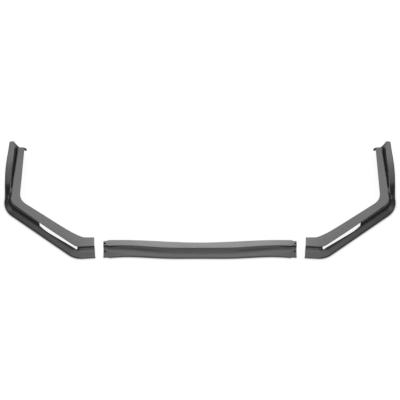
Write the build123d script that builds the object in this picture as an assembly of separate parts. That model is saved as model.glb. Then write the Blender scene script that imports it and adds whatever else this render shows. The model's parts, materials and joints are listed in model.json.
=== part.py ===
from build123d import *
import os
from math import cos, pi, radians, sin, tan

# A front splitter lip: a centre piece and two mirrored corner pieces, laid out side by side, apart.
# Millimetres. X runs across the car, Y to the rear and Z up. The blade edges stand on Z = 0.
# The crease, where the flat top meets the front wall, is the line that everything is set out from.

# Section that the three mouldings share where they join
wall = 3.0                    # sheet thickness
shelf_height = 50.0           # top of the flat shelf above the blade's lower edge
shelf_overhang = 1.5          # the shelf's edge stands this far in front of the wall
shelf_edge_round = 1.0        # rounding of the shelf's upper edges
wall_drop = 24.0              # from the shelf down to the blade's root
wall_lean = 0.0               # from the crease out to the blade's root
blade_reach = 40.0            # from the crease to the blade's edge
blade_edge = 10.0             # height of the blade's upright edge
cove_rise = 10.0              # up the wall, of the cove between it and the blade
cove_reach = 22.0             # out over the blade, of the same cove
edge_round = 5.0              # rounding of the blade's upper edge
longest_round = 0.75          # share of a leg that a rounding takes at most

# Centre piece: its crease is a wave in plan, most forward in the middle
centre_length = 912.0         # over both tongues
wave_depth = 13.7             # setback of the wave's low points
wave_at = 365.0               # those low points, from the middle
wave_sharpness = 0.3          # flattens the wave in the middle and sharpens its low points
rear_wave_at = 380.0          # low points of the flange's rear edge
flange_depth = 29.0           # in the middle
middle_reach = 32.0           # blade reach in the middle
middle_drop = 25.0            # wall drop in the middle
middle_lean = 5.0             # wall lean in the middle
joint_blend = 8               # power of the share by which the lean passes to that of the joint
wave_steps = 12               # sections from the middle to either joint

# Tongue joint between the centre piece and the corner pieces
tongue_length = 23.0
tongue_root = 12.0            # how far the tongue's root runs back under the centre piece
root_depth = 2.0              # of the root's upper side, inside the sheet
tongue_clearance = 0.5        # between the tongue and the corner piece over it
screw_hole = 7.0              # diameter
screw_depth = 10.0            # of the straight hole, from the tongue's outer side
screw_point = 2.1             # of the hole's pointed end
boss_diameter = 12.0          # of the screw bosses on the hidden side
boss_length = 13.0
screw_inset = 8.0             # of the screw holes, from the tongue's end
face_screw_reach = 13.0       # of the lower screw hole, from the crease
drawn_apart = 64.0            # of the corner pieces from their fitted place

# Corner piece: its crease in plan has a front run, a slanted run and a side run
front_run = 84.0              # across, from the joint to the bend
slant_across = 331.0
slant_back = 243.0
slant_bow = 5.0               # of the shelf's front edge, halfway along the slanted run
side_run = 313.0              # from the corner to the rear end
side_tuck = 13.0              # the side run leans in this much by its rear end
bend_radius = 60.0
corner_radius = 60.0

# Shelf of a corner piece, from the crease to its inner edge
front_shelf = 45.5            # at the joint
bend_shelf = 48.0             # at the bend
corner_shelf = 34.5           # at the corner
rear_shelf = 29.5             # at the rear end
inner_bend_round = 120.0      # how far its rounding at the bend runs out along the slanted run
inner_bend_lead = 28.0        # the same along the front run
inner_corner_round = 40.0

# Air slot through the wall of the slanted run
slot_start = 0.0              # from the bend, along the run
slot_length = 251.0
slot_taper = 61.0             # length over which its lip runs back to the point
start_lip = 2.0               # from the crease to its lip, at the bend
wide_lip = 11.3               # the same where the taper starts
end_lip = 3.1                 # the same at the outer end
slot_round = 30.0             # run-out of the lip's curve where the taper starts
slot_slope = 45.0             # degrees that its outer end rises to the point

# Ridge of the side run, with the groove between it and the shelf
crest_rise = 31.0             # of the crest above the shelf at the rear
crest_start = 24.0            # from the crease to the crest's start on the blade
crest_out = 13.0              # from the crease to the crest beside the open groove
crest_round = 3.0
crest_flare = 12              # power of the share by which the crest moves out to its place at the end
ridge_tilt = 10.0             # degrees that the ridge's top falls outwards at the rear
flank_out = 3.5               # by which the ridge's outer edge moves out towards the rear
flank_swell = 6.0             # more of the same, halfway along
crest_run = 60.0              # from the corner to where the crest has come in beside the groove
groove_run = 150.0            # from the corner to where the groove's foot has come up
groove_depth = 10.0           # of its foot under the shelf
groove_foot = 2.5             # from the crease to its foot
groove_round = 9.0            # up the ridge, of the rounding at its foot
side_steps = 12               # sections along the side run, less one

# Rear end: the web that closes the groove, the end's rake and the ear bent down from the shelf
web_length = 15.0
web_lap = 9.0                 # how far the web runs in over the shelf
web_foot = 2.5                # from the crease to the web's slope
web_rise = 4.5                # of that slope's foot above the shelf
end_crest_out = 22.0          # from the crease to the crest at the very end
end_rake = 26.0               # degrees that the end leans to the rear
ear_width = 13.0
ear_reach = 10.0
ear_drop = 10.0
ear_inset = 0.5               # from the rear end

up = Vector(0, 0, 1)
from_base = (Align.CENTER, Align.CENTER, Align.MIN)
joint_x = centre_length / 2 - tongue_length

# Corners of the shared section, as (outward from the crease, up)
crease_corner = Vector(-shelf_overhang, shelf_height)
root = Vector(wall_lean, shelf_height - wall_drop)
blade_top = Vector(blade_reach, blade_edge)
blade_tilt = (blade_top - root).get_angle(Vector(1, 0))


def wave(x):
    """Setback of the centre piece's crease."""
    turn = pi * x / wave_at
    return wave_depth * (1 - cos(turn) - wave_sharpness * (1 - cos(2 * turn))) / 2


def wave_slope(x):
    """Slope of that crease in plan."""
    turn = pi * x / wave_at
    return wave_depth * (sin(turn) - 2 * wave_sharpness * sin(2 * turn)) * pi / wave_at / 2


def rear_wave(x):
    """Setback of the flange's rear edge from its place in the middle."""
    return wave_depth * (1 - cos(pi * x / rear_wave_at)) / 2


def ease(share):
    """From 0 to 1 with a level start and end."""
    share = min(share, 1.0)
    return share**2 * (3 - 2 * share)


def hidden_side(corners, depth):
    """The corners of a section, moved through the sheet to a depth under its outer side."""
    legs = [(b - a).normalized() for a, b in zip(corners, corners[1:])]
    sides = [Vector(leg.Y, -leg.X) for leg in legs]
    before = [sides[0]] + sides
    after = sides + [sides[-1]]
    return [c + (m + n) * (depth / (1 + m.dot(n))) for c, m, n in zip(corners, before, after)]


def rounded_chain(corners, rounds):
    """Straight legs through the corners. Each inner corner has a run-out of its rounding on either side."""
    edges = []
    start = corners[0]
    for before, corner, after, (run_in, run_out) in zip(corners, corners[1:], corners[2:], rounds):
        back = before - corner
        on = after - corner
        arrive = corner + back.normalized() * min(run_in, longest_round * back.length)
        leave = corner + on.normalized() * min(run_out, longest_round * on.length)
        edges += [Line(start, arrive), Bezier(arrive, corner, leave)]
        start = leave
    return edges + [Line(start, corners[-1])]


def sheet_section(corners, rounds, top_depth=0.0, bottom_depth=wall):
    """The closed section of a sheet between two depths under the line of corners."""
    outer = hidden_side(corners, top_depth)
    inner = hidden_side(corners, bottom_depth)
    ends = [Line(outer[-1], inner[-1]), Line(inner[0], outer[0])]
    return Face(Wire(rounded_chain(outer, rounds) + rounded_chain(inner, rounds) + ends))


def inside_shelf(foot):
    """Top end of the wall that rises from a foot: halfway through the shelf's thickness."""
    return crease_corner + (foot - crease_corner) * (wall / 2 / (shelf_height - foot.Y))


def station(point, heading, rake=0.0):
    """Plane across the crease. Its x axis points out of the car and its y axis up."""
    outward = Vector(-heading.Y, heading.X)
    normal = heading * cos(radians(rake)) - up * sin(radians(rake))
    return Plane(origin=point, x_dir=outward, z_dir=normal)


def meet(point, direction, other_point, other_direction):
    """Where two lines in plan cross."""
    across = direction.cross(other_direction).Z
    along = (other_point - point).cross(other_direction).Z / across
    return point + direction * along


def shelf_solid(long_edges, ends):
    """The flat top inside an outline in plan. Its upper edges are rounded, all but its square ends."""
    plate = extrude(Pos(0, 0, shelf_height - wall) * make_face(long_edges + ends), wall)
    top = plate.faces().sort_by(Axis.Z)[-1]
    end_middles = [end @ 0.5 + up * shelf_height for end in ends]
    rounded = [e for e in top.edges() if min((e @ 0.5 - m).length for m in end_middles) > wall]
    return fillet(rounded, shelf_edge_round)


def on_blade(reach):
    """The point of the blade's upper side at a distance from the crease."""
    return root + (blade_top - root) * ((reach - root.X) / (blade_top.X - root.X))


def side_corners(share, run):
    """Section corners at a share of the side run. At 0 they are those of the front and slanted runs."""
    raised = ease(share * run / groove_run)
    foot = root + Vector(groove_foot - wall_lean, wall_drop - groove_depth) * raised
    settled = ease(share * run / crest_run)
    climb = settled * (1 - (1 - share) ** 2)
    low = on_blade(crest_start).Y
    flare = (end_crest_out - crest_out) * share**crest_flare
    crest = Vector(
        crest_start + (crest_out - crest_start) * settled + flare,
        low + (shelf_height + crest_rise - low) * climb,
    )
    reach = blade_reach + flank_out * share + flank_swell * sin(pi * share) ** 2
    tilt = blade_tilt + (ridge_tilt - blade_tilt) * share
    outer = Vector(reach, crest.Y - (reach - crest.X) * tan(radians(tilt)))
    return [inside_shelf(foot), foot, crest, outer, Vector(reach, 0)]


def side_rounds(share, run):
    """Roundings of those corners. The cove narrows to the rounding of the groove's foot."""
    foot_round = cove_reach + (groove_round - cove_reach) * ease(share * run / groove_run)
    return [(cove_rise, foot_round), (crest_round, crest_round), (edge_round, edge_round)]


def end_corners():
    """Section corners at the rear end, where the web has closed the groove."""
    foot = Vector(web_foot, shelf_height + web_rise)
    crest = Vector(end_crest_out, shelf_height + crest_rise)
    reach = blade_reach + flank_out
    outer = Vector(reach, crest.Y - (reach - crest.X) * tan(radians(ridge_tilt)))
    top = Vector(-web_lap, shelf_height - wall / 2)
    return [top, foot, crest, outer, Vector(reach, 0)]


def air_slot(bend, heading):
    """Cutter for the air slot, straight down from the shelf: blunt at the bend, pointed at its outer end."""
    slot_end = slot_start + slot_length
    under_shelf = shelf_height - wall
    behind = -blade_reach / 2
    lip = [Vector(slot_start, start_lip), Vector(slot_end - slot_taper, wide_lip), Vector(slot_end, end_lip)]
    back = Polyline(lip[-1], (slot_end, behind), (slot_start, behind), lip[0])
    outline = Face(Wire(rounded_chain(lip, [(slot_round, slot_round)]) + back.edges()))
    cutter = extrude(Plane(origin=bend, x_dir=heading, z_dir=up) * outline, under_shelf, dir=up)
    slope = radians(slot_slope)
    tip = bend + heading * slot_end + up * under_shelf
    return split(cutter, bisect_by=Plane(origin=tip, z_dir=up * cos(slope) - heading * sin(slope)))


def corner_piece():
    """The left corner piece in its fitted place."""
    joint = Vector(-joint_x, wave(joint_x))
    bend = joint + Vector(-front_run, front_run * wave_slope(joint_x))
    corner = bend + Vector(-slant_across, slant_back)
    rear = corner + Vector(side_tuck, side_run)
    front_heading = (bend - joint).normalized()
    slant_heading = (corner - bend).normalized()
    side_heading = (rear - corner).normalized()

    crease = FilletPolyline(joint, bend, corner, rear, radius=[bend_radius, corner_radius])
    slant_inward = slant_heading.cross(up)
    bow = (bend + corner) * 0.5 - slant_inward * slant_bow
    bow_turn = (bow - bend).get_angle(corner - bow)
    bow_radius = longest_round * (bow - bend).length / tan(radians(bow_turn / 2))
    edge_radii = [bend_radius, bow_radius, corner_radius]
    front_edge = FilletPolyline(joint, bend, bow, corner, rear, radius=edge_radii)
    inner_joint = joint + front_heading.cross(up) * front_shelf
    inner_rear = rear + side_heading.cross(up) * rear_shelf
    by_bend = bend + slant_inward * bend_shelf
    by_corner = corner + slant_inward * corner_shelf
    inner_bend = meet(inner_joint, Vector(1, 0), by_bend, by_corner - by_bend)
    inner_corner = meet(inner_rear, Vector(0, 1), by_bend, by_corner - by_bend)
    inner_line = [inner_rear, inner_corner, inner_bend, inner_joint]
    inner_rounds = [(inner_corner_round, inner_corner_round), (inner_bend_round, inner_bend_lead)]
    inner_edge = rounded_chain(inner_line, inner_rounds)
    ends = [Line(rear, inner_rear), Line(inner_joint, joint)]
    shelf = shelf_solid(front_edge.edges() + inner_edge, ends)

    # The rail under the shelf has one section from the joint to the end of the corner's arc
    rail_path = Wire(crease.order_edges()[:-1])
    side_start = rail_path @ 1
    run = (rear - side_start).length
    rail_section = sheet_section(side_corners(0.0, run), side_rounds(0.0, run))
    rail = sweep(station(joint, front_heading) * rail_section, path=rail_path)
    rail -= air_slot(bend, slant_heading)

    def side_face(share, corners):
        """A section across the side run. The sections lean back more and more towards the raked end."""
        rake = end_rake * ease(share)
        lean_back = shelf_height * tan(radians(rake))
        foot = side_start + side_heading * (run * share - lean_back)
        line = [Vector(c.X, c.Y / cos(radians(rake))) for c in corners]
        return station(foot, side_heading, rake) * sheet_section(line, side_rounds(share, run))

    # Along the side run the blade climbs into the ridge, and the web closes the groove at the end
    last_share = 1 - web_length / run
    shares = [last_share * i / side_steps for i in range(side_steps + 1)]
    ridge_faces = [side_face(s, side_corners(s, run)) for s in shares]
    ridge = loft(ridge_faces)
    web = loft([ridge_faces[-1], side_face(1.0, end_corners())], ruled=True)

    forward = Vector(0, -1)
    ear_plane = Plane(inner_rear + forward * ear_inset, x_dir=Vector(1, 0), z_dir=forward)
    ear_line = [Vector(-wall, shelf_height - wall / 4), Vector(ear_reach, shelf_height - ear_drop)]
    ear = extrude(ear_plane * sheet_section(ear_line, []), ear_width, dir=forward)
    return shelf + rail + ridge + web + ear


def centre_corners(x):
    """Section corners of the centre piece: shallower and shorter towards the middle."""
    share = (x / joint_x) ** 2
    drop = middle_drop + (wall_drop - middle_drop) * share
    reach = middle_reach + (blade_reach - middle_reach) * share
    lean = middle_lean + (wall_lean - middle_lean) * (x / joint_x) ** joint_blend
    foot = Vector(lean, shelf_height - drop)
    return [inside_shelf(foot), foot, Vector(reach, blade_edge), Vector(reach, 0)]


def tongue(joint, heading):
    """The set-in tongue at one end, with its thicker root and its two blind screw holes in bosses."""
    corners = [
        Vector(-flange_depth, shelf_height),
        crease_corner,
        root,
        blade_top,
        Vector(blade_reach, tongue_clearance),
    ]
    rounds = [(shelf_edge_round, shelf_edge_round), (cove_rise, cove_reach), (edge_round, edge_round)]
    top_depth = wall + tongue_clearance
    bottom_depth = top_depth + wall
    plane = station(joint, heading)
    thick = plane * sheet_section(corners, rounds, root_depth, bottom_depth)
    thin = plane * sheet_section(corners, rounds, top_depth, bottom_depth)
    solid = extrude(thick, tongue_root, dir=-heading) + extrude(thin, 2 * tongue_length, dir=heading)
    solid = split(solid, bisect_by=Plane(origin=(-centre_length / 2, 0, 0), z_dir=(1, 0, 0)))

    face_screw = on_blade(face_screw_reach)
    hole_plane = station(joint + heading * (tongue_length - screw_inset), heading)
    upper = hole_plane.location * Pos(-flange_depth / 2, shelf_height - top_depth)
    lower = hole_plane.location * Pos(face_screw.X, face_screw.Y) * Rot(0, 0, -blade_tilt)
    lower = lower * Pos(0, -top_depth)
    for mouth in (upper, lower):
        inward = mouth * Rot(90, 0, 0)
        solid += inward * Pos(0, 0, wall / 2) * Cylinder(boss_diameter / 2, boss_length, align=from_base)
        solid -= inward * Pos(0, 0, -wall) * Cylinder(screw_hole / 2, wall + screw_depth, align=from_base)
        solid -= inward * Pos(0, 0, screw_depth) * Cone(screw_hole / 2, 0, screw_point, align=from_base)
    return solid


def centre_piece():
    """The centre piece: flange, front face with its blade, and a tongue at each end."""
    places = [joint_x * i / wave_steps for i in range(wave_steps, -wave_steps - 1, -1)]
    points = [Vector(x, wave(x)) for x in places]
    headings = [Vector(-1, -wave_slope(x)).normalized() for x in places]
    depths = [flange_depth + rear_wave(x) - wave(x) for x in places]
    rear_points = [p + h.cross(up) * d for p, h, d in zip(points, headings, depths)]
    edges = [Spline(*points, tangents=[headings[0], headings[-1]]), Spline(*rear_points)]
    ends = [Line(points[0], rear_points[0]), Line(points[-1], rear_points[-1])]
    flange = shelf_solid(edges, ends)

    faces = [
        station(p, h) * sheet_section(centre_corners(x), [(cove_rise, cove_reach), (edge_round, edge_round)])
        for x, p, h in zip(places, points, headings)
    ]
    left_tongue = tongue(points[-1], headings[-1])
    return flange + loft(faces) + left_tongue + mirror(left_tongue, about=Plane.YZ)


left = Pos(-drawn_apart, 0, 0) * corner_piece()
right = mirror(left, about=Plane.YZ)
centre = centre_piece()

# The origin is under the middle of the laid-out set
extent = Compound([left, centre]).bounding_box()
to_middle = Pos(0, -(extent.min.Y + extent.max.Y) / 2, 0)

os.makedirs("parts", exist_ok=True)
export_step(to_middle * left, "parts/left_corner_piece.step")
export_step(to_middle * centre, "parts/centre_piece.step")
export_step(to_middle * right, "parts/right_corner_piece.step")
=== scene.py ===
# %% [markdown]
# # Front splitter lip
# A splitter lip hangs under the front bumper of a car. This one is a set of three black plastic
# mouldings, laid out apart: a waved centre piece and two mirrored corner pieces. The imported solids
# hold their shapes and sizes, in metres, with X across the car, Y to its rear and Z up. This lesson
# gives them a stage, a light and a finish, and opens the mouths of the screw holes.

# %% Load the solids
import json
import math

import bpy
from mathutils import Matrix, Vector


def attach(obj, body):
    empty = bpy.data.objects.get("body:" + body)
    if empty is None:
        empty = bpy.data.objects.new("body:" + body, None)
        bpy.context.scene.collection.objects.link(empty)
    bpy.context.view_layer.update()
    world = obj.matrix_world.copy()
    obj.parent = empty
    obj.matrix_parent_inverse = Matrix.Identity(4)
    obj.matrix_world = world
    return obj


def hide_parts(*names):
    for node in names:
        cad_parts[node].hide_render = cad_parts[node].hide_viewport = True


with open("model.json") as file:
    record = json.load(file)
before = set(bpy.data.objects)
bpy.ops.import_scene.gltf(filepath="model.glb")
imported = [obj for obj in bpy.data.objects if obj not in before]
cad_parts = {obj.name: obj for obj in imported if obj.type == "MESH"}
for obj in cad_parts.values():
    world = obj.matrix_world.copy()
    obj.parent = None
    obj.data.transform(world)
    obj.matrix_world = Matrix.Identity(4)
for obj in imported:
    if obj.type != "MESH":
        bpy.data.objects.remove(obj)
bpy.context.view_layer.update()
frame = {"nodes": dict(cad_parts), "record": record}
scene = bpy.context.scene
print("mouldings:", sorted(frame["nodes"]))

# %% [markdown]
# ## Camera
# The picture looks down on the set from the front, from far away, so its long lines hardly converge.
# A camera can be placed by trial in the viewport. Here an elevation, a distance and a target give its
# place, because these three can be changed one at a time.

# %% Camera
camera_elevation = math.radians(60.0)
camera_distance = 5.357
camera_target = Vector((0.0, 0.0165, 0.0))
camera_lens = 99.0

towards_camera = Vector((0.0, -math.cos(camera_elevation), math.sin(camera_elevation)))
camera_data = bpy.data.cameras.new("camera")
camera_data.lens = camera_lens
camera = bpy.data.objects.new("camera", camera_data)
camera.location = camera_target + towards_camera * camera_distance
camera.rotation_euler = (math.pi / 2 - camera_elevation, 0.0, 0.0)
scene.collection.objects.link(camera)
scene.camera = camera
print("camera at", [round(place, 3) for place in camera.location])

# %% [markdown]
# ## Floor
# Catalogue pictures stand on white paper. Paper that is only lit would need so much light that the
# black plastic would turn grey. So the paper gives off most of its white by itself, to the camera and
# to mirror and glass rays, and only the rest of it is lit. A glow takes no shadow, so close to a
# moulding it is turned down by the Ambient Occlusion node, as a blade's shadow would do.

# %% Paper of the floor
paper_glow = (0.88, 0.88, 0.88, 1.0)
paper_colour = (0.12, 0.12, 0.12, 1.0)
painted_shadow_reach = 0.01


def joined(tree, operation, first, second):
    """The result of a Math node that takes two sockets."""
    node = tree.nodes.new("ShaderNodeMath")
    node.operation = operation
    tree.links.new(first, node.inputs[0])
    tree.links.new(second, node.inputs[1])
    return node.outputs["Value"]


def white_paper():
    """Paper that glows to camera, glossy and transmission rays, with a painted shadow that darkens its
    glow near the mouldings, and whose lit part takes a soft shadow.
    """
    material = bpy.data.materials.new("white_paper")
    material.use_nodes = True
    tree = material.node_tree
    nodes = tree.nodes
    links = tree.links
    nodes.clear()
    rays = nodes.new("ShaderNodeLightPath").outputs
    seen = joined(tree, "MAXIMUM", rays["Is Camera Ray"], rays["Is Glossy Ray"])
    seen = joined(tree, "MAXIMUM", seen, rays["Is Transmission Ray"])
    # Painted shadow: the Ambient Occlusion node darkens the paper's glow close to the mouldings.
    painted_contact_shadow = nodes.new("ShaderNodeAmbientOcclusion")
    painted_contact_shadow.inputs["Distance"].default_value = painted_shadow_reach
    glow = nodes.new("ShaderNodeEmission")
    glow.inputs["Color"].default_value = paper_glow
    links.new(joined(tree, "MULTIPLY", seen, painted_contact_shadow.outputs["AO"]), glow.inputs["Strength"])
    lit = nodes.new("ShaderNodeBsdfDiffuse")
    lit.inputs["Color"].default_value = paper_colour
    both = nodes.new("ShaderNodeAddShader")
    links.new(glow.outputs["Emission"], both.inputs[0])
    links.new(lit.outputs["BSDF"], both.inputs[1])
    output = nodes.new("ShaderNodeOutputMaterial")
    links.new(both.outputs["Shader"], output.inputs["Surface"])
    return material


paper = white_paper()
print("paper:", paper.name, "with", len(paper.node_tree.nodes), "nodes")

# %% Floor
floor_half = 200.0

floor_signs = ((-1, -1), (1, -1), (1, 1), (-1, 1))
floor_corners = [(x * floor_half, y * floor_half, 0.0) for x, y in floor_signs]
floor_mesh = bpy.data.meshes.new("paper_floor")
floor_mesh.from_pydata(floor_corners, [], [range(len(floor_corners))])
floor_mesh.materials.append(paper)
floor = bpy.data.objects.new("paper_floor", floor_mesh)
scene.collection.objects.link(floor)
print("floor:", 2 * floor_half, "m square")

# %% [markdown]
# ## Light
# Satin black plastic shows little of its own colour. What the eye reads as its shape is the reflection
# of the lamps: a face is light where it mirrors a softbox and dark where it mirrors the empty room. So
# each lamp is placed by following the view to one kind of face and on along its mirror ray. The flat
# tops mirror the rear softbox, the blades the overhead one, the climbing ridges the pair at the sides,
# and the steep face of the centre piece the front ones. Two strips lift the centre piece alone, and a
# panel behind the set serves low views. Each lamp is given by its radiance, which is the brightness
# that a mirror would show, and not by its watts.

# %% Softboxes
def softbox(name, place, width, depth, radiance, lean=0.0, turn=0.0):
    """A rectangular lamp that faces down, or leans to face the rear and then turns about Z."""
    lamp = bpy.data.lights.new(name, "AREA")
    lamp.shape = "RECTANGLE"
    lamp.size = width
    lamp.size_y = depth
    lamp.energy = radiance * math.pi * width * depth  # watts
    holder = bpy.data.objects.new(name, lamp)
    holder.location = place
    holder.rotation_euler = (math.radians(lean), 0.0, math.radians(turn))
    holder.visible_camera = False
    scene.collection.objects.link(holder)
    print(f"{name}: {width} x {depth} m, radiance {radiance}")


softbox("overhead_softbox", (0.0, -0.85, 2.6), width=5.15, depth=2.5, radiance=1.5)
softbox("rear_softbox", (0.0, 1.55, 2.55), width=7.0, depth=1.3, radiance=2.8)
softbox("flange_strip", (0.0, 1.2, 2.5), width=1.4, depth=0.8, radiance=3.8)
softbox("front_softbox", (0.0, -4.05, 2.6), width=2.6, depth=3.9, radiance=1.35)
softbox("front_panel", (0.0, -6.2, 1.25), width=2.1, depth=2.4, radiance=1.6, lean=90.0)
softbox("face_strip", (0.0, -1.9, 2.5), width=1.8, depth=1.2, radiance=0.9)
softbox("rear_panel", (0.0, 7.0, 1.7), width=9.0, depth=3.0, radiance=0.7, lean=90.0, turn=180.0)
for name, side in (("left", -1), ("right", 1)):
    softbox(name + "_ridge_softbox", (side * 3.25, 0.5, 2.6), width=1.0, depth=0.8, radiance=1.9)

# %% [markdown]
# ## Room
# The room around the lamps is nearly black. It gives the walls, the groove and the cove under the slot
# the dark that sets them off from the tops. A picture of a real studio could surround the set. An even,
# faint grey is chosen, because it keeps the darkest faces from closing up and adds no reflections.

# %% Room
room_strength = 0.07

scene.view_settings.view_transform = "Standard"
scene.world = bpy.data.worlds.new("studio_room")
scene.world.use_nodes = True
room = scene.world.node_tree.nodes["Background"]
room.inputs["Color"].default_value = (1.0, 1.0, 1.0, 1.0)
room.inputs["Strength"].default_value = room_strength
print("room strength", room_strength)

# %% [markdown]
# ## Black plastic
# The mouldings are black plastic with a satin skin. Three things keep it from looking like paint from a
# tin: a fine grain from the tool that shaped it, patches that are a little smoother where the melt
# flowed longer, and edges that are rounded and rubbed a little lighter. A scanned picture could be
# wrapped round the pieces, but it would stretch and show seams. Noise on object coordinates, in metres,
# gives the grain and the patches at the same size on all three pieces, and the Bevel node finds the
# edges.

# %% Noise of the patches and the grain
patch_size = 0.12
patch_detail = 3.0
grain_size = 0.0011
grain_detail = 2.0


def noise(tree, place, size, detail):
    """Noise whose lumps are about one size across."""
    texture = tree.nodes.new("ShaderNodeTexNoise")
    texture.inputs["Scale"].default_value = 1.0 / size
    texture.inputs["Detail"].default_value = detail
    tree.links.new(place, texture.inputs["Vector"])
    return texture.outputs["Fac"]


print("patches of", 1000 * patch_size, "mm, grain of", 1000 * grain_size, "mm")

# %% Rounded and rubbed edges
edge_radius = 0.0009
edge_samples = 4
untouched_cosine = 1.0
rubbed_cosine = 0.8


def rounded_edges(tree):
    """Normals that go round the sharp edges."""
    bevel = tree.nodes.new("ShaderNodeBevel")
    bevel.samples = edge_samples
    bevel.inputs["Radius"].default_value = edge_radius
    return bevel.outputs["Normal"]


def rubbed_share(tree, rounded):
    """How far a place is rubbed: none on a flat face, all where the rounding turns enough."""
    turn = tree.nodes.new("ShaderNodeVectorMath")
    turn.operation = "DOT_PRODUCT"
    tree.links.new(rounded, turn.inputs[0])
    tree.links.new(tree.nodes.new("ShaderNodeNewGeometry").outputs["Normal"], turn.inputs[1])
    share = tree.nodes.new("ShaderNodeMapRange")
    share.inputs["From Min"].default_value = untouched_cosine
    share.inputs["From Max"].default_value = rubbed_cosine
    tree.links.new(turn.outputs["Value"], share.inputs["Value"])
    return share.outputs["Result"]


print("edges:", 1000 * edge_radius, "mm round")

# %% Satin black plastic
plastic_dark = (0.011, 0.011, 0.0113, 1.0)
plastic_light = (0.016, 0.016, 0.0166, 1.0)
rubbed_edge = (0.028, 0.028, 0.029, 1.0)
plastic_ior = 1.66
smooth_patch = 0.2
rough_patch = 0.28
grain_height = 0.00003
grain_strength = 0.5


def colour_mix(tree, share):
    """The two colours and the result of a Mix node, with the share of its second colour."""
    mix = tree.nodes.new("ShaderNodeMix")
    mix.data_type = "RGBA"
    tree.links.new(share, mix.inputs["Factor"])
    first, second = [socket for socket in mix.inputs if socket.type == "RGBA"]
    (result,) = [socket for socket in mix.outputs if socket.type == "RGBA"]
    return first, second, result


def satin_black_plastic():
    """The finish that the three mouldings share."""
    material = bpy.data.materials.new("satin_black_plastic")
    material.use_nodes = True
    tree = material.node_tree
    links = tree.links
    skin = tree.nodes["Principled BSDF"].inputs
    skin["IOR"].default_value = plastic_ior
    place = tree.nodes.new("ShaderNodeTexCoord").outputs["Object"]
    patches = noise(tree, place, patch_size, patch_detail)
    rounded = rounded_edges(tree)

    dark, light, melt = colour_mix(tree, patches)
    dark.default_value = plastic_dark
    light.default_value = plastic_light
    clean, rubbed, colour = colour_mix(tree, rubbed_share(tree, rounded))
    links.new(melt, clean)
    rubbed.default_value = rubbed_edge
    links.new(colour, skin["Base Color"])

    polish = tree.nodes.new("ShaderNodeMapRange")
    polish.inputs["To Min"].default_value = rough_patch
    polish.inputs["To Max"].default_value = smooth_patch
    links.new(patches, polish.inputs["Value"])
    links.new(polish.outputs["Result"], skin["Roughness"])

    grain = tree.nodes.new("ShaderNodeBump")
    grain.inputs["Strength"].default_value = grain_strength
    grain.inputs["Distance"].default_value = grain_height
    links.new(noise(tree, place, grain_size, grain_detail), grain.inputs["Height"])
    links.new(rounded, grain.inputs["Normal"])
    links.new(grain.outputs["Normal"], skin["Normal"])
    return material


plastic = satin_black_plastic()
print("finish:", plastic.name, "with", len(plastic.node_tree.nodes), "nodes")

# %% [markdown]
# ## Trees for mouldings
# Two Geometry Nodes trees work on the solids, and both begin and end alike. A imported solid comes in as
# loose triangles, each with its own corners, so a tree first welds them. At its end it realizes what is
# still an instance and sets the plastic. These two ends could be copied from tree to tree. As helpers
# they are written once.

# %% Beginning and end of a tree
weld_distance = 0.000002


def solid_tree(name, kinds):
    """A tree that takes a solid, the named inputs and a finish, and gives a moulding."""
    tree = bpy.data.node_groups.new(name, "GeometryNodeTree")
    sockets = tree.interface
    sockets.new_socket("Solid", in_out="INPUT", socket_type="NodeSocketGeometry")
    sockets.new_socket("Weld distance", in_out="INPUT", socket_type="NodeSocketFloat")
    for title, kind in kinds.items():
        sockets.new_socket(title, in_out="INPUT", socket_type=kind)
    sockets.new_socket("Finish", in_out="INPUT", socket_type="NodeSocketMaterial")
    sockets.new_socket("Moulding", in_out="OUTPUT", socket_type="NodeSocketGeometry")
    return tree, tree.nodes.new("NodeGroupInput").outputs


def welded(tree, given):
    """The solid with its triangles joined."""
    weld = tree.nodes.new("GeometryNodeMergeByDistance")
    tree.links.new(given["Solid"], weld.inputs["Geometry"])
    tree.links.new(given["Weld distance"], weld.inputs["Distance"])
    return weld.outputs["Geometry"]


def hand_out(tree, given, shape):
    """Realize the shape, set its finish and give it out."""
    whole = tree.nodes.new("GeometryNodeRealizeInstances")
    tree.links.new(shape, whole.inputs["Geometry"])
    coat = tree.nodes.new("GeometryNodeSetMaterial")
    tree.links.new(whole.outputs["Geometry"], coat.inputs["Geometry"])
    tree.links.new(given["Finish"], coat.inputs["Material"])
    result = tree.nodes.new("NodeGroupOutput").inputs
    tree.links.new(coat.outputs["Geometry"], result["Moulding"])
    print("tree:", tree.name, "with", len(tree.nodes), "nodes")


# %% Running a tree
def run_tree(tree, mesh, values):
    """The mesh that a tree makes of a copy of a mesh, with the tree's inputs given by name."""
    values = {"Weld distance": weld_distance, "Finish": plastic, **values}
    blank = bpy.data.objects.new("blank", mesh.copy())
    blank.data.materials.clear()
    scene.collection.objects.link(blank)
    runner = blank.modifiers.new("tree", "NODES")
    runner.node_group = tree
    for socket in tree.interface.items_tree:
        if socket.name in values:
            runner[socket.identifier] = values[socket.name]
    graph = bpy.context.evaluated_depsgraph_get()
    made = bpy.data.meshes.new_from_object(blank.evaluated_get(graph))
    bpy.data.objects.remove(blank)
    print(tree.name, "made", len(made.polygons), "faces")
    return made


# %% [markdown]
# ## Screw holes
# Each end of the centre piece has two screw holes, and the mouth of each opens as a small funnel that
# guides the screw. A funnel could be cut by hand four times. The record already says where each hole
# lies and which way it points, so one vertex is put at each mouth with its axis as an attribute, and a
# tree stands a cutter on every vertex and takes all of them away from the moulding in one step.

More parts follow.
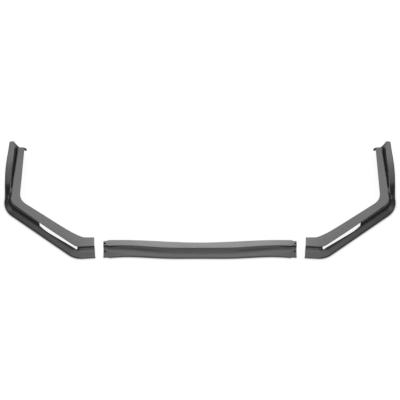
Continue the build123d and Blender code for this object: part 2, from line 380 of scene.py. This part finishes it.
# %% Mouths of the screw holes
bores = [mount for mount in frame["record"]["mounts"] if mount["kind"] == "bore"]
mouth_mesh = bpy.data.meshes.new("screw_hole_mouths")
mouth_mesh.vertices.add(len(bores))
mouth_axes = mouth_mesh.attributes.new("axis", "FLOAT_VECTOR", "POINT")
for bore, mouth, mouth_axis in zip(bores, mouth_mesh.vertices, mouth_axes.data):
    axis = Vector(bore["axis"]).normalized()
    length = bore["dims"]["length_mm"] / 1000
    mouth.co = Vector(bore["pos_m"]) + axis * length / 2
    mouth_axis.vector = axis
    print(bore["name"], "opens at", [round(1000 * place, 1) for place in mouth.co], "mm")

# %% Funnels on the mouths
funnel_sides = 48


def funnel_cutter(tree, given):
    """A cutter that stands on its foot, below a mouth, and widens upwards."""
    cone = tree.nodes.new("GeometryNodeMeshCone")
    cone.inputs["Vertices"].default_value = funnel_sides
    tree.links.new(given["Top radius"], cone.inputs["Radius Top"])
    tree.links.new(given["Foot radius"], cone.inputs["Radius Bottom"])
    tree.links.new(given["Length"], cone.inputs["Depth"])
    foot = tree.nodes.new("ShaderNodeCombineXYZ")
    tree.links.new(given["Foot height"], foot.inputs["Z"])
    lowered = tree.nodes.new("GeometryNodeTransform")
    tree.links.new(cone.outputs["Mesh"], lowered.inputs["Geometry"])
    tree.links.new(foot.outputs["Vector"], lowered.inputs["Translation"])
    return lowered.outputs["Geometry"]


def on_mouths(tree, given, cutter):
    """The cutter on every mouth, turned along the mouth's axis."""
    mouths = tree.nodes.new("GeometryNodeObjectInfo")
    tree.links.new(given["Mouths"], mouths.inputs["Object"])
    axis = tree.nodes.new("GeometryNodeInputNamedAttribute")
    axis.data_type = "FLOAT_VECTOR"
    axis.inputs["Name"].default_value = mouth_axes.name
    aim = tree.nodes.new("FunctionNodeAlignRotationToVector")
    aim.axis = "Z"
    tree.links.new(axis.outputs["Attribute"], aim.inputs["Vector"])
    place = tree.nodes.new("GeometryNodeInstanceOnPoints")
    tree.links.new(mouths.outputs["Geometry"], place.inputs["Points"])
    tree.links.new(cutter, place.inputs["Instance"])
    tree.links.new(aim.outputs["Rotation"], place.inputs["Rotation"])
    return place.outputs["Instances"]


print("funnels:", len(bores), "with", funnel_sides, "sides each")

# %% Tree that sinks the screw holes
funnel_sizes = ("Top radius", "Foot radius", "Length", "Foot height")


def sinking_tree():
    """Take a funnel away from a solid at each mouth."""
    kinds = {"Mouths": "NodeSocketObject", **dict.fromkeys(funnel_sizes, "NodeSocketFloat")}
    tree, given = solid_tree("sink_screw_holes", kinds)
    cut = tree.nodes.new("GeometryNodeMeshBoolean")
    cut.operation = "DIFFERENCE"
    cut.solver = "EXACT"
    tree.links.new(welded(tree, given), cut.inputs["Mesh 1"])
    cutters = on_mouths(tree, given, funnel_cutter(tree, given))
    tree.links.new(cutters, cut.inputs["Mesh 2"])
    hand_out(tree, given, cut.outputs["Mesh"])
    return tree


sink_screw_holes = sinking_tree()

# %% Sink the screw holes
funnel_radius = 0.0049  # at the mouth
funnel_slope = 0.6  # sideways, for each step up
funnel_above = 0.001  # that the cutter stands out of the mouth
funnel_below = 0.0026  # that it reaches down, to where it is narrower than the hole

mouths = bpy.data.objects.new("screw_hole_mouths", mouth_mesh)
scene.collection.objects.link(mouths)
funnel = {
    "Mouths": mouths,
    "Top radius": funnel_radius + funnel_slope * funnel_above,
    "Foot radius": funnel_radius - funnel_slope * funnel_below,
    "Length": funnel_above + funnel_below,
    "Foot height": -funnel_below,
}
solids = {name: node.data for name, node in frame["nodes"].items()}
solids["centre_piece"] = run_tree(sink_screw_holes, solids["centre_piece"], funnel)
bpy.data.objects.remove(mouths)

# %% [markdown]
# ## Dressing the mouldings
# As loose triangles a solid would shade as flat facets. Shading it smooth all over would blur its
# creases, and marking them by hand would take long. So a tree measures how far the faces turn at each
# edge: it shades all faces smooth and keeps the edges crisp that turn by more than an angle. The same
# tree serves the three pieces.

# %% Tree that dresses a moulding
def dressing_tree():
    """Shade a solid smooth, with crisp edges."""
    tree, given = solid_tree("dress_moulding", {"Crisp angle": "NodeSocketFloat"})
    smooth = tree.nodes.new("GeometryNodeSetShadeSmooth")
    smooth.domain = "FACE"
    tree.links.new(welded(tree, given), smooth.inputs["Geometry"])
    turn = tree.nodes.new("GeometryNodeInputMeshEdgeAngle")
    sharp = tree.nodes.new("FunctionNodeCompare")
    sharp.operation = "GREATER_THAN"
    tree.links.new(turn.outputs["Unsigned Angle"], sharp.inputs["A"])
    tree.links.new(given["Crisp angle"], sharp.inputs["B"])
    crisp = tree.nodes.new("GeometryNodeSetShadeSmooth")
    crisp.domain = "EDGE"
    crisp.inputs["Shade Smooth"].default_value = False
    tree.links.new(smooth.outputs["Geometry"], crisp.inputs["Geometry"])
    tree.links.new(sharp.outputs["Result"], crisp.inputs["Selection"])
    hand_out(tree, given, crisp.outputs["Geometry"])
    return tree


dress_moulding = dressing_tree()

# %% [markdown]
# ## Three finished pieces
# The tree runs on a copy of each solid's mesh, and its result is kept as a plain mesh that stands for
# the solid. Weighted normals follow the large faces, so the flat shelf stays flat right up to its small
# rounded edges.

# %% Dress each moulding
crisp_angle = math.radians(32.0)


def dress(node_name):
    """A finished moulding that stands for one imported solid."""
    mesh = run_tree(dress_moulding, solids[node_name], {"Crisp angle": crisp_angle})
    moulding = bpy.data.objects.new("moulded_" + node_name, mesh)
    scene.collection.objects.link(moulding)
    even = moulding.modifiers.new("even_shading", "WEIGHTED_NORMAL")
    even.keep_sharp = True
    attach(moulding, "root")
    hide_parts(node_name)
    print("dressed:", moulding.name)


for node_name in sorted(solids):
    dress(node_name)
